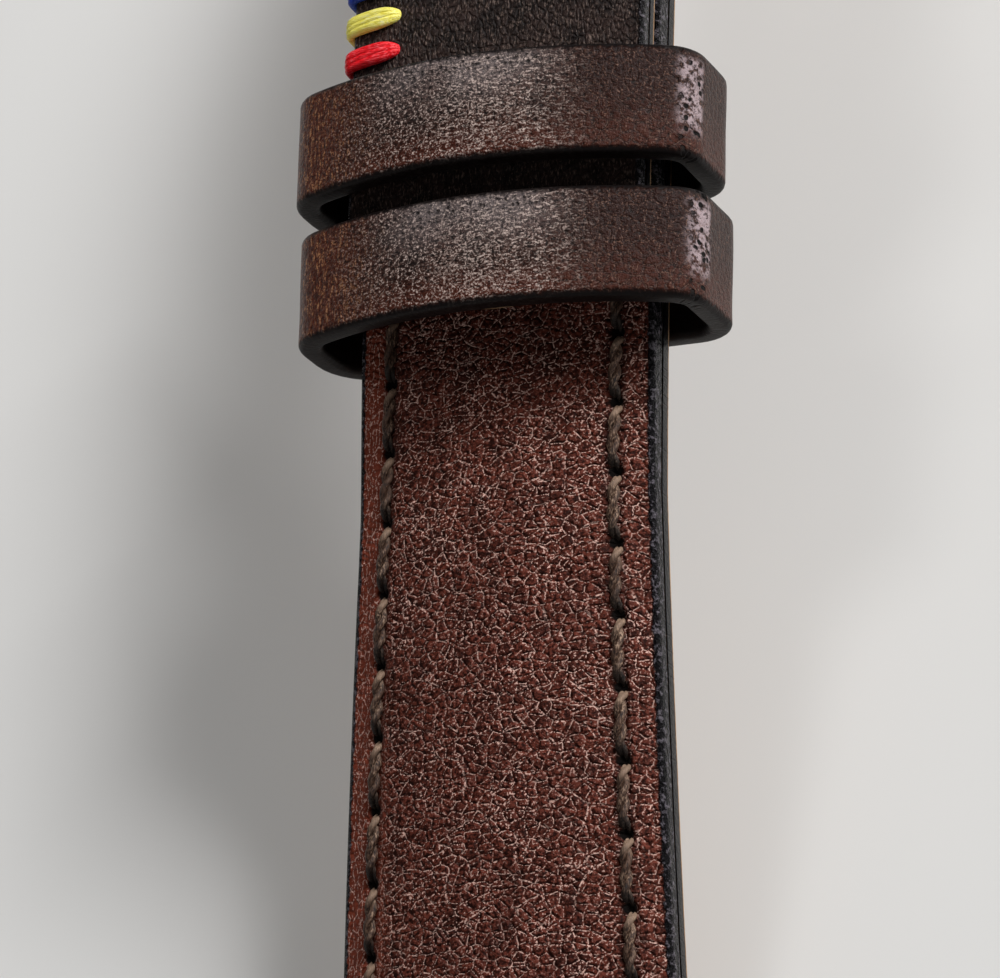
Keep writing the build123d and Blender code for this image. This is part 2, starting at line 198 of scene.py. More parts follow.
def place(x, s, h):
    """Point in the row frame, in metres, of x, s and h on the bent strap."""
    y, z, heading = along(s)
    y += -h * math.cos(heading) - front_bar[0]
    z += h * math.sin(heading) - front_bar[1]
    ahead = y * math.cos(lean) + z * math.sin(lean)
    up = z * math.cos(lean) - y * math.sin(lean) + lug_nose
    return Vector((x * MM, ahead * MM + front_bar_y, up * MM))


def heading_at(s):
    return along(s)[2] + lean


def place_flat(s):
    """Matrix that sets a piece cut flat about s = 0 onto the strap at s, unbent."""
    heading = heading_at(s)
    across = Vector((1, 0, 0))
    ahead = Vector((0, math.sin(heading), math.cos(heading)))
    out = Vector((0, -math.cos(heading), math.sin(heading)))
    turn = Matrix((across, ahead, out)).transposed().to_4x4()
    return Matrix.Translation(place(0, s, 0)) @ turn @ Matrix.Scale(MM, 4)


def ease(value, start, end):
    t = min(1, max(0, (value - start) / (end - start)))
    return t * t * (3 - 2 * t)


def mix(a, b, t):
    return a + (b - a) * t


def half_width(s):
    from_lug = min(s, loop_length - s)
    t = min(1, max(0, (from_lug - taper_near) / (taper_far - taper_near)))
    return mix(lug_width, buckle_width, t) / 2


def short_heights(s):
    """Heights of the short piece at the edge, the stitch line and the middle."""
    from_bar = short_length - s
    padded = ease(from_bar, thin_from, padded_from)
    edge = mix(buckle_edge_height, edge_height, padded)
    shoulder = mix(buckle_end_height - flat_bow * 2, shoulder_height, padded)
    crown = mix(buckle_end_height, crown_height, padded)
    lug = 1 - ease(s, 0, lug_blend)
    bar = 1 - ease(from_bar, 0, filler_start)
    edge = mix(mix(edge, lug_end_height, lug), buckle_end_height - flat_bow, bar)
    shoulder = mix(mix(shoulder, lug_end_height, lug), buckle_end_height - flat_bow / 2, bar)
    return edge, shoulder, mix(crown, lug_end_height + flat_bow, lug)


def long_heights(s):
    """Heights of the long piece above its own wrist side."""
    from_lug = loop_length - s
    padded = 1 - ease(from_lug, long_padded, long_thin)
    edge = mix(tail_edge_height, edge_height, padded)
    shoulder = mix(tail_crown_height - flat_bow * 2, shoulder_height, padded)
    crown = mix(tail_crown_height, crown_height, padded)
    lug = 1 - ease(from_lug, 0, lug_blend)
    edge = mix(edge, lug_end_height, lug)
    shoulder = mix(shoulder, lug_end_height, lug)
    return edge, shoulder, mix(crown, lug_end_height + flat_bow, lug)


def long_lift(s):
    """How far the short piece holds the long one off the wrist side."""
    past_bar = s - short_length
    top = short_heights(s)[2] if past_bar <= 0 else buckle_end_height
    return (top + tail_rest) * (1 - ease(past_bar, -climb_start, climb_end))


def no_lift(s):
    return 0


def top_of(x, w, heights):
    """Height of a section at x: straight margins and an arched middle."""
    edge, shoulder, crown = heights
    seam = w - stitch_margin
    if abs(x) >= seam:
        return mix(shoulder, edge, (abs(x) - seam) / stitch_margin)
    rise = crown - shoulder
    if rise < glue_line / 4:
        return shoulder
    radius = (seam * seam + rise * rise) / (2 * rise)
    return crown - radius + math.sqrt(radius * radius - x * x)


# Mesh work
def put(name, data):
    """A new object of the scene, at its origin."""
    made = bpy.data.objects.new(name, data)
    bpy.context.scene.collection.objects.link(made)
    return made


def rings_of(made):
    """New edges and points of an extrusion, without the edges that join them to the old ones."""
    points = [v for v in made["geom"] if isinstance(v, bmesh.types.BMVert)]
    new = set(points)
    edges = [e for e in made["geom"] if isinstance(e, bmesh.types.BMEdge) and set(e.verts) <= new]
    return edges, points


def draw_out(outline, stations):
    """Closed bar with the outline (x, h) from the first station along s to the last."""
    bm = bmesh.new()
    points = [bm.verts.new((x, stations[0], h)) for x, h in outline]
    ring = [bm.edges.new((points[i - 1], points[i])) for i in range(len(points))]
    bmesh.ops.edgeloop_fill(bm, edges=ring)
    for before, after in zip(stations, stations[1:]):
        ring, moved = rings_of(bmesh.ops.extrude_edge_only(bm, edges=ring))
        bmesh.ops.translate(bm, verts=moved, vec=(0, after - before, 0))
    bmesh.ops.edgeloop_fill(bm, edges=ring)
    bmesh.ops.recalc_face_normals(bm, faces=bm.faces)
    return bm


def strand(bm, places, sides):
    """Closed round strand through the places, each a matrix with the strand along its Z axis."""
    made = bmesh.ops.create_circle(bm, cap_ends=False, radius=1, segments=sides, matrix=places[0])
    ring = list({e for v in made["verts"] for e in v.link_edges})
    bmesh.ops.edgeloop_fill(bm, edges=ring)
    for before, after in zip(places, places[1:]):
        ring, moved = rings_of(bmesh.ops.extrude_edge_only(bm, edges=ring))
        bmesh.ops.transform(bm, matrix=after @ before.inverted(), verts=moved)
    bmesh.ops.edgeloop_fill(bm, edges=ring)


def frames_along(points, sizes):
    """Matrices along a line of points, with each strand's radius as their scale."""
    frames = []
    side = Vector((0, 0, 1))
    for number, point in enumerate(points):
        ahead = (points[min(number + 1, len(points) - 1)] - points[max(number - 1, 0)]).normalized()
        across = side.cross(ahead).normalized()
        side = ahead.cross(across)
        turn = Matrix((across, side, ahead)).transposed().to_4x4()
        frames.append(Matrix.Translation(point) @ turn @ Matrix.Scale(sizes[number], 4))
    return frames


merge_gap = 0.0005


def cut(bm, cutters):
    """Takes closed cutters, each a bmesh, out of a closed piece that is still flat."""
    mesh = bpy.data.meshes.new("flat")
    bm.to_mesh(mesh)
    bm.free()
    body = put("flat", mesh)
    tools = []
    for number, cutter in enumerate(cutters):
        tool_mesh = bpy.data.meshes.new(f"cutter_{number}")
        bmesh.ops.recalc_face_normals(cutter, faces=cutter.faces)
        cutter.to_mesh(tool_mesh)
        cutter.free()
        tools.append(put(f"cutter_{number}", tool_mesh))
        modifier = body.modifiers.new("cut", "BOOLEAN")
        modifier.operation = "DIFFERENCE"
        modifier.solver = "EXACT"
        modifier.object = tools[-1]
    bpy.context.view_layer.update()
    result = bpy.data.meshes.new_from_object(body.evaluated_get(bpy.context.evaluated_depsgraph_get()))
    cleaned = bmesh.new()
    cleaned.from_mesh(result)
    for thing in [body] + tools:
        bpy.data.objects.remove(thing)
    bpy.data.meshes.remove(result)
    bmesh.ops.remove_doubles(cleaned, verts=cleaned.verts, dist=merge_gap)
    return cleaned


rod_sides = 48


def rod(radius, length, centre, axis):
    """Round cutter about a centre, along X or H."""
    bm = bmesh.new()
    turn = Matrix.Rotation(math.pi / 2, 4, "Y") if axis == "X" else Matrix.Identity(4)
    bmesh.ops.create_cone(
        bm,
        cap_ends=True,
        segments=rod_sides,
        radius1=radius,
        radius2=radius,
        depth=length,
        matrix=Matrix.Translation(centre) @ turn,
    )
    return bm


def block(size, centre):
    bm = bmesh.new()
    bmesh.ops.create_cube(bm, size=1, matrix=Matrix.Translation(centre) @ Matrix.Diagonal((*size, 1)))
    return bm


leather_crease = 38
thread_crease = 80


def finish_piece(bm, name, finish, body, nodes, flat, rim, crease=leather_crease):
    """Makes the object of a piece.

    Its finish reads flat, the place of each point before the piece was bent, and rim, the
    distance in from the side and then, on the strap, the height or, on a keeper, the depth.
    """
    mesh = bpy.data.meshes.new(name)
    for face in bm.faces:
        face.smooth = True
    for edge in bm.edges:
        if len(edge.link_faces) == 2:
            edge.smooth = edge.calc_face_angle(0) < math.radians(crease)
    bm.to_mesh(mesh)
    bm.free()
    for label, values in (("flat", flat), ("rim", rim)):
        layer = mesh.attributes.new(label, "FLOAT_VECTOR", "POINT")
        layer.data.foreach_set("vector", [number for value in values for number in value])
    mesh.materials.append(finish)
    piece = put(name, mesh)
    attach(piece, body)
    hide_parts(*nodes)
    return piece


# Leather sections
standard_half = lug_width / 2
standard_heights = (edge_height, shoulder_height, crown_height)
edge_round = 0.45
edge_turns = [math.radians(a) for a in (18, 36, 54, 72, 90)]
wall_round = 0.2
round_middle = 0.3
crown_step = 0.46
row_step = 0.12
margin_step = 0.2
hollow_step = 1.1
row_inside = 0.9
row_outside = 0.7


def spread(start, end, step):
    count = max(1, round(abs(end - start) / step))
    return [mix(start, end, i / count) for i in range(count + 1)]


def standard_top(x):
    """Height of the standard section at x."""
    return top_of(x, standard_half, standard_heights)


def skin_outline(base):
    """Outline of the top leather: crown, margins, rounded edges and the hollow for the pad."""
    seam = standard_half - stitch_margin
    half = spread(0, seam - row_inside, crown_step)[:-1]
    half += spread(seam - row_inside, seam + row_outside, row_step)[:-1]
    half += spread(seam + row_outside, standard_half - edge_round, margin_step)
    right = [(x, standard_top(x)) for x in half]
    corner_x = standard_half - edge_round
    corner_h = standard_top(corner_x) - edge_round
    for a in edge_turns:
        right.append((corner_x + edge_round * math.sin(a), corner_h + edge_round * math.cos(a)))
    near = wall_round * round_middle
    right += [(standard_half, base + wall_round), (standard_half - near, base + near)]
    right += [(standard_half - wall_round, base), (standard_half - edge_seam, base)]
    ceiling = spread(standard_half - edge_seam, 0, hollow_step)
    right += [(x, standard_top(x) - skin_thick) for x in ceiling]
    left = [(-x, h) for x, h in reversed(right[1:-1])]
    return right + left


def fit_across(x, w):
    """Moves x from the standard section to one of half width w, keeping the margins' width."""
    keep = stitch_margin + row_inside
    if w < keep * 2:
        return x * w / standard_half
    if abs(x) > standard_half - keep:
        return math.copysign(w - (standard_half - abs(x)), x)
    return x * (w - keep) / (standard_half - keep)


# Waves of a worked leather: how many in a millimetre across and along, and their height
broad_waves = (0.16, 0.13, 0.05)
small_waves = (0.55, 0.75, 0.018)
seed_step = 7
short_seed = 1.7
long_seed = 5.3


def waviness(x, s, seed):
    """Slight unevenness of hand-worked leather."""
    broad = noise.noise(Vector((x * broad_waves[0], s * broad_waves[1], seed)))
    small = noise.noise(Vector((x * small_waves[0], s * small_waves[1], seed + seed_step)))
    return broad_waves[2] * broad + small_waves[2] * small


def steps_at(marks):
    """Two stations close together at each mark, where a leather's thickness steps."""
    return [mark + way * glue_line / 8 for mark in marks for way in (-1, 1)]


def shape_skin(bm, lift_at, heights_at, width_at, base_at, hollow, ends, holes_at, seed):
    """Moves the points of a straight skin to their heights."""
    base_standard = min(v.co.z for v in bm.verts)
    for v in bm.verts:
        x, s, h = v.co
        low_end, high_end = ends
        inside = min(max(s, low_end[0]), high_end[0])
        heights = heights_at(inside)
        w = width_at(inside)
        new_x = fit_across(x, w)
        top = top_of(new_x, w, heights) + waviness(new_x, s, seed) * min(1, w - abs(new_x))
        top -= holes_at(new_x, inside, w)
        base = base_at(s)
        below = standard_top(x) - h
        in_hollow = abs(x) <= standard_half - edge_seam + glue_line and below > skin_thick - glue_line
        if h <= base_standard + wall_round + glue_line:
            new_h = base + h - base_standard
        elif in_hollow:
            new_h = top - below if hollow[0] < s < hollow[1] else base
        else:
            new_h = top - below
        for end, nose_radius, way in ends:
            past = (s - end) * way
            if nose_radius and past > 0:
                squeeze = math.sqrt(max(0, 1 - (past / nose_radius) ** 2))
                new_h = nose_radius + (new_h - nose_radius) * squeeze
        v.co = (new_x, s, new_h + lift_at(inside))


def bend(bm):
    for v in bm.verts:
        v.co = place(*v.co)


def settle(bm, names, finish, lift_at, width_at):
    """Keeps a flat piece's places for its finish, bends it and makes its object.

    The names are the piece's own, its slot's, which is not used, and its node's.
    """
    flat, rim = [], []
    for v in bm.verts:
        x, s, h = v.co
        inside = min(max(s, 0), loop_length)
        low = h - lift_at(inside)
        flat.append((x, s, low))
        rim.append((width_at(inside) - abs(x), low, 0))
    bend(bm)
    name, slot, node = names
    return finish_piece(bm, name, finish, "strap", [node], flat, rim)


# Stitch places
def row_places(start, length_of_row, end_s):
    """Middles of the stitches of a row of the short piece."""
    count = int((length_of_row - row_lug_end - start) / stitch_pitch) + 1
    return [end_s - start - i * stitch_pitch for i in range(count)]


short_rows = {
    -1: row_places(left_row_start, short_length, short_length),
    1: row_places(right_row_start, short_length, short_length),
}
long_count = int((long_thin - row_lug_end) / stitch_pitch)
long_places = [loop_length - row_lug_end - i * stitch_pitch for i in range(long_count)]
long_rows = {-1: long_places, 1: long_places}
row_groove = 0.16
row_groove_width = 0.42
row_reach = 1.4
hole_dent = 0.42
hole_dent_width = 0.3
hole_stretch = 0.8


def dents(rows):
    """Depth of the sewn line and of the thread's holes in the leather."""

    def depth(x, s, w):
        side = 1 if x > 0 else -1
        row = rows[side]
        if not row[-1] - stitch_pitch < s < row[0] + stitch_pitch:
            return 0
        off = abs(x) - (w - stitch_margin)
        if abs(off) > row_reach:
            return 0
        low_end = ease(s, row[-1] - stitch_pitch, row[-1])
        ends = min(low_end, 1 - ease(s, row[0], row[0] + stitch_pitch))
        sunk = row_groove * ends * math.exp(-((off / row_groove_width) ** 2))
        nearest = (s - row[-1] + stitch_pitch / 2) % stitch_pitch
        nearest = min(nearest, stitch_pitch - nearest)
        reach = math.hypot(off, nearest * hole_stretch) / hole_dent_width
        return sunk + hole_dent * ends * math.exp(-(reach ** 2))

    return depth


# Leather pieces
skin_step = 0.35
thin_step = 0.5
thin_margin = 6
lining_step = 0.8
pad_step = 0.8
pad_outline_step = 0.6
notch_height = 20
nose_turns = [math.radians(a) for a in (86, 74, 60, 46, 32, 20, 10)]


def short_skin(finish):
    lining_ends = (turned_leather, short_length - turned_leather)
    stations = [-lug_nose * math.sin(a) for a in nose_turns] + spread(0, short_length, skin_step)
    stations += [short_length + buckle_nose * math.sin(a) for a in reversed(nose_turns)]
    filler_ends = (filler_start, short_length - filler_from_bar)
    stations += steps_at((*lining_ends, *filler_ends))
    base = lining_thick + glue_line
    bm = draw_out(skin_outline(base), sorted(stations))
    shape_skin(
        bm,
        no_lift,
        short_heights,
        half_width,
        lambda s: base if lining_ends[0] < s < lining_ends[1] else 0,
        filler_ends,
        ((0, lug_nose, -1), (short_length, buckle_nose, 1)),
        dents(short_rows),
        short_seed,
    )
    tools = [
        rod(tunnel_radius, lug_width * 2, (0, 0, lug_nose), "X"),
        rod(tunnel_radius, lug_width * 2, (0, short_length, buckle_nose), "X"),
        block((notch_width, notch_depth * 2, notch_height), (0, short_length, buckle_nose)),
    ]
    names = ("short_leather", "face_leather", "short_top_leather")
    return settle(cut(bm, tools), names, finish, no_lift, half_width)


tip_steps = (0.01, 0.06, 0.16, 0.32, 0.55, 0.85)
tip_run = 1.2


def tail_width(s):
    """Half width of the long piece, round at the tail's tip."""
    start = short_length - tail_reach
    full = half_width(s)
    radius = (full * full + tip_depth * tip_depth) / (2 * tip_depth)
    from_tip = s - start
    if from_tip >= tip_depth:
        return full
    return math.sqrt(max(0, radius * radius - (radius - from_tip) ** 2))


def long_skin(finish):
    start = short_length - tail_reach
    stop = loop_length - turned_leather
    stations = [start + d for d in tip_steps]
    thin_end = loop_length - long_thin - thin_margin
    stations += spread(start + tip_run, thin_end, thin_step)[:-1]
    stations += spread(thin_end, loop_length, skin_step)
    stations += [loop_length + lug_nose * math.sin(a) for a in reversed(nose_turns)]
    filler_ends = (loop_length - long_filler_length, loop_length - filler_start)
    stations += steps_at((stop, *filler_ends))
    base = long_lining_thick + glue_line
    bm = draw_out(skin_outline(base), sorted(stations))
    shape_skin(
        bm,
        long_lift,
        long_heights,
        tail_width,
        lambda s: base if s < stop else 0,
        filler_ends,
        ((start, 0, -1), (loop_length, lug_nose, 1)),
        dents(long_rows),
        long_seed,
    )
    tools = [rod(tunnel_radius, lug_width * 2, (0, loop_length, lug_nose), "X")] + hole_tools()
    names = ("long_leather", "tail_leather", "long_top_leather")
    return settle(cut(bm, tools), names, finish, long_lift, tail_width)


hole_tool_length = 16


def hole_tools():
    """Cutters of the buckle holes; the used one is pulled long by the tongue."""
    tools = []
    for number in range(hole_count):
        s = short_length + first_hole + number * hole_pitch
        tool = rod(hole_radius, hole_tool_length, (0, s, long_lift(s)), "H")
        if number == 0:
            stretch = (pulled_hole_width / 2 / hole_radius, pulled_hole_length / 2 / hole_radius, 1)
            middle = Matrix.Translation((0, s, 0))
            pull = middle @ Matrix.Diagonal((*stretch, 1)) @ middle.inverted()
            bmesh.ops.transform(tool, matrix=pull, verts=tool.verts)
        tools.append(tool)
    return tools


def pad(name, stations, base, heights_at, finish, node):
    """Felt pad that fills the hollow under a top leather."""
    reach = standard_half - edge_seam - glue_line
    outline = [(-reach, base), (reach, base)]
    for x in spread(reach, -reach, pad_outline_step):
        outline.append((x, standard_top(x) - skin_thick - glue_line))
    bm = draw_out(outline, stations)
    for v in bm.verts:
        x, s, h = v.co
        w = half_width(s)
        new_x = fit_across(x, w)
        if h > base + glue_line:
            h = top_of(new_x, w, heights_at(s)) - skin_thick - glue_line
        v.co = (new_x, s, h)
    piece = settle(bm, (name, "filler", node), finish, no_lift, half_width)
    return piece


lining_round = 0.18
lining_outline_step = 1.0
lining_tip_run = 1


def lining(name, ends, thick, lift_at, width_at, tools, finish, node):
    """Flat lining leather with its lower edges rounded off."""
    start, stop = ends
    half = standard_half
    flat_end = half - lining_round
    near = lining_round * round_middle
    outline = [(half, thick)] + [(-x, thick) for x in spread(-half, half, lining_outline_step)[1:]]
    outline += [(-half, lining_round), (-half + near, near), (-flat_end, 0)]
    outline += [(x, 0) for x in spread(-flat_end, flat_end, lining_outline_step)[1:]]
    outline += [(half - near, near), (half, lining_round)]
    stations = [start + d for d in tip_steps] if width_at is tail_width else [start]
    stations += spread(start + lining_tip_run, stop, lining_step)
    bm = draw_out(outline, stations)
    for v in bm.verts:
        x, s, h = v.co
        v.co = (x * width_at(s) / half, s, h + lift_at(s))
    if tools:
        bm = cut(bm, tools)
    return settle(bm, (name, "lining_leather", node), finish, lift_at, width_at)


# Keepers
keeper_step = 0.5
keeper_rows = 18
keeper_back_turn = 0.2
keeper_front_turn = 0.17
keeper_arch_turn = 0.02
keeper_middle = 3
keeper_rim_angle = 60
keeper_rim_round = 0.42
keeper_rim_segments = 4
keeper_sag = 0.05
keeper_sag_waves = (0.25, 0.35)


def keeper_side(clearance, front_r, back_r):
    """Half of a keeper's outline, from its seam round one side to the middle of its top."""
    half = keeper_width / 2
    drop_x = half - front_r
    drop = keeper_arch_radius - math.sqrt(keeper_arch_radius ** 2 - drop_x ** 2)
    back = -clearance - keeper_thick
    lean_in = math.asin(drop_x / keeper_arch_radius)
    corner_h = keeper_top - drop - front_r * math.cos(lean_in)
    line = [(x, back) for x in spread(keeper_seam_gap / 2, half - back_r, keeper_step)[:-1]]
    for a in spread(0, math.pi / 2, keeper_back_turn):
        line.append((half - back_r + back_r * math.sin(a), back + back_r - back_r * math.cos(a)))
    line += [(half, h) for h in spread(back + back_r, corner_h, keeper_step)[1:]]
    for a in spread(0, math.pi / 2 - lean_in, keeper_front_turn)[1:]:
        line.append((half - front_r + front_r * math.cos(a), corner_h + front_r * math.sin(a)))
    first = math.asin((half - front_r + front_r * math.sin(lean_in)) / keeper_arch_radius)
    centre = line[-1][1] - keeper_arch_radius * math.cos(first)
    for a in spread(first, 0, keeper_arch_turn)[1:]:
        line.append((keeper_arch_radius * math.sin(a), centre + keeper_arch_radius * math.cos(a)))
    return line


def keeper_loop(name, stand, finish, body, node):
    """Arched leather loop with rounded, burnished edges, open at its seam on the wrist side.

    Its stand is its distance from the buckle bar, its clearance and its shift to the right.
    """
    from_bar, clearance, shift = stand
    right = keeper_side(clearance, *keeper_right_corners)
    left = keeper_side(clearance, *keeper_left_corners)
    line = right + [(-x, h) for x, h in reversed(left[:-1])]
    bm = bmesh.new()
    points = [bm.verts.new((x, -keeper_band / 2, h)) for x, h in line]
    ring = [bm.edges.new(pair) for pair in zip(points, points[1:])]
    for number in range(keeper_rows):
        ring, moved = rings_of(bmesh.ops.extrude_edge_only(bm, edges=ring))
        bmesh.ops.translate(bm, verts=moved, vec=(0, keeper_band / keeper_rows, 0))
    bmesh.ops.recalc_face_normals(bm, faces=bm.faces)
    middle = Vector((0, 0, keeper_middle))
    if sum(face.normal.dot(face.calc_center_median() - middle) for face in bm.faces) < 0:
        bmesh.ops.reverse_faces(bm, faces=bm.faces)
    bmesh.ops.solidify(bm, geom=bm.faces[:], thickness=keeper_thick)
    round_rims(bm)
    return set_keeper(bm, name, from_bar, shift, line, finish, body, node)


def on_rim(edge):
    """Whether an edge of a keeper is a sharp one at the side of its band."""
    if len(edge.link_faces) != 2 or edge.calc_face_angle(0) <= math.radians(keeper_rim_angle):
        return False
    return all(abs(v.co.y) > keeper_band / 2 - glue_line / 4 for v in edge.verts)


def round_rims(bm):
    """Rounds the sharp edges at both sides of a keeper's band."""
    bmesh.ops.bevel(
        bm,
        geom=[edge for edge in bm.edges if on_rim(edge)],
        offset=keeper_rim_round,
        segments=keeper_rim_segments,
        profile=0.5,
        affect="EDGES",
        material=-1,
        offset_type="OFFSET",
        clamp_overlap=True,
    )


def set_keeper(bm, name, from_bar, shift, line, finish, body, node):
    """Lets a keeper sag a little, sets it on the strap and makes its object."""
    flat, rim = [], []
    half_band = keeper_band / 2
    for v in bm.verts:
        x, b, h = v.co
        nearest = min(line, key=lambda p: (p[0] - x) ** 2 + (p[1] - h) ** 2)
        depth = math.hypot(nearest[0] - x, nearest[1] - h)
        around = line_run(line, x, h)
        waves = Vector((around * keeper_sag_waves[0], b * keeper_sag_waves[1], from_bar))
        sag = keeper_sag * noise.noise(waves)
        out = Vector((x, 0, h - keeper_middle)).normalized()
        v.co += out * sag
        flat.append((around, b, depth + from_bar))
        rim.append((half_band - abs(b), depth, 0))
    s = short_length - from_bar - keeper_band / 2
    place_it = place_flat(s) @ Matrix.Translation((shift, 0, 0))
    bmesh.ops.transform(bm, matrix=place_it, verts=bm.verts)
    bmesh.ops.recalc_face_normals(bm, faces=bm.faces)
    return finish_piece(bm, name, finish, body, [node], flat, rim)


def line_run(line, x, h):
    """Distance round the keeper's outline, from its seam, of the outline's point nearest to x, h."""
    best, reached, length = 1e9, 0, 0
    for (ax, ah), (bx, bh) in zip(line, line[1:]):
        step = math.hypot(bx - ax, bh - ah)
        t = min(1, max(0, ((x - ax) * (bx - ax) + (h - ah) * (bh - ah)) / (step * step)))
        off = math.hypot(ax + t * (bx - ax) - x, ah + t * (bh - ah) - h)
        if off < best:
            best, reached = off, length + t * step
        length += step
    return reached


# Thread
def finish_thread(bm, name, finish, node):
    flat = [tuple(v.co) for v in bm.verts]
    bend(bm)
    bmesh.ops.recalc_face_normals(bm, faces=bm.faces)
    return finish_piece(bm, name, finish, "strap", [node], flat, flat, crease=thread_crease)


thread_steps = 26
thread_sides = 7
thread_dip = 1.05
thread_dip_power = 1.6
thread_rest = 0.25
sunk_length = 0.5
full_rise = 0.62
sunk_size = 0.78
stitch_slant = 0.16


def stitch_row(name, middles, side, heights_at, finish, node):
    """A row of two-ply stitches that come up out of one hole and go down the next."""
    bm = bmesh.new()
    for middle in middles:
        for ply in (0, math.pi):
            points, sizes = [], []
            for i in range(thread_steps + 1):
                t = i / thread_steps
                s = middle + (t - 0.5) * (stitch_length + sunk_length)
                w = half_width(s)
                x = side * (w - stitch_margin)
                rise = min(1, math.sin(math.pi * t) / full_rise)
                dip = thread_dip * (1 - rise) ** thread_dip_power
                h = top_of(x, w, heights_at(s)) - row_groove + thread_rest - dip
                swell = mix(sunk_size, 1, rise)
                angle = math.tau * (s - middle) / twist_pitch + ply
                off = twist_radius * swell
                slant = stitch_slant * (t - 0.5)
                points.append(Vector((x + slant + off * math.sin(angle), s, h + off * math.cos(angle))))
                sizes.append(strand_radius * swell)
            strand(bm, frames_along(points, sizes), thread_sides)
    return finish_thread(bm, name, finish, node)


def smooth_line(corners, steps):
    """Points of a smooth curve drawn towards the corners."""
    held = [corners[0]] * 2 + corners + [corners[-1]] * 2
    points = []
    for k in range(len(held) - 3):
        a, b, c, d = held[k : k + 4]
        for i in range(steps):
            t = i / steps
            point = a * (1 - t) ** 3 + b * (3 * t ** 3 - 6 * t ** 2 + 4)
            point += c * (1 + 3 * t + 3 * t ** 2 - 3 * t ** 3) + d * t ** 3
            points.append(point / 6)
    points.append(held[-1])
    return points


wrap_plies = 7
wrap_sides = 8
wrap_steps = 4
wrap_ply_radius = 0.27
wrap_thin_end = 0.45
wrap_spread = 0.4
wrap_depth = 0.05
wrap_turn = 0.3
wrap_fan_least = 0.1
wrap_fan_from = 0.1
wrap_fan_full = 0.34
wrap_edge = 0.3


def edge_wrap(number, name, finish, node):
    """Coloured floss wrapped over the tail's left edge, fanned out from one hole."""
    s = short_length - wrap_last + number * wrap_pitch
    w = half_width(s)
    slope = math.tan(math.radians(wrap_tilt))

    def at(x_in, h_over):
        """Place above the leather, so far in from the left edge and so high."""
        place_s = s + (x_in + wrap_spread) * slope
        x = -w + x_in
        top = top_of(min(w, abs(x)), w, long_heights(place_s))
        return Vector((x, place_s, long_lift(place_s) + top + h_over))

    def beside(x_out, back, h):
        """Place beside the edge, so far out from it and so far back."""
        return Vector((-w - wrap_edge + x_out, s - back, h))

    low = long_lift(s)
    high = low + tail_edge_height
    over = [(wrap_reach, -0.7), (wrap_reach - 0.08, -0.15), (wrap_reach - 0.45, 0.2)]
    over += [(wrap_reach * 0.55, 0.32), (0.5, 0.3), (0.0, 0.22)]
    down = [(0.08, 0.03, high + 0.1), (0.08, 0.06, high - 0.5), (0.12, 0.08, low + 0.5)]
    down += [(0.2, 0.12, low - 0.02), (0.35, 0.12, low - 0.08)]
    line = smooth_line([at(*c) for c in over] + [beside(*c) for c in down], wrap_steps)
    bm = bmesh.new()
    for ply in range(wrap_plies):
        points, sizes = [], []
        for i, point in enumerate(line):
            t = i / (len(line) - 1)
            ahead = (line[min(i + 1, len(line) - 1)] - line[max(i - 1, 0)]).normalized()
            out = Vector((0, 1, 0)).cross(ahead).normalized()
            fan = mix(wrap_fan_least, 1, ease(t, wrap_fan_from, wrap_fan_full))
            angle = math.tau * (ply / wrap_plies + wrap_turn * t)
            aside = Vector((0, 1, 0)) * wrap_spread * fan * math.cos(angle)
            points.append(point + aside + out * wrap_depth * math.sin(angle))
            sizes.append(wrap_ply_radius * mix(wrap_thin_end, 1, fan))
        strand(bm, frames_along(points, sizes), wrap_sides)
    return finish_thread(bm, name, finish, node)


# Finishes
class Socket:
    """A shader output that can be used in sums."""

    def __init__(self, finish, link):
        self.finish = finish
        self.link = link

    def math(self, operation, *values):
        return self.finish.node("ShaderNodeMath", {"operation": operation}, dict(enumerate(values)))

    def __add__(self, other):
        return self.math("ADD", self, other)

    __radd__ = __add__

    def __sub__(self, other):
        return self.math("SUBTRACT", self, other)

    def __rsub__(self, other):
        return self.math("SUBTRACT", other, self)

    def __mul__(self, other):
        return self.math("MULTIPLY", self, other)

    __rmul__ = __mul__

    def __abs__(self):
        return self.math("ABSOLUTE", self)

    def __or__(self, other):
        """The larger of two masks."""
        return self.math("MAXIMUM", self, other)

    def rise(self, low, high):
        """0 below low, 1 above high, smooth between."""
        settings = {"interpolation_type": "SMOOTHSTEP"}
        sockets = {"Value": self, "From Min": low, "From Max": high}
        return self.finish.node("ShaderNodeMapRange", settings, sockets)

    def fall(self, low, high):
        return 1 - self.rise(low, high)


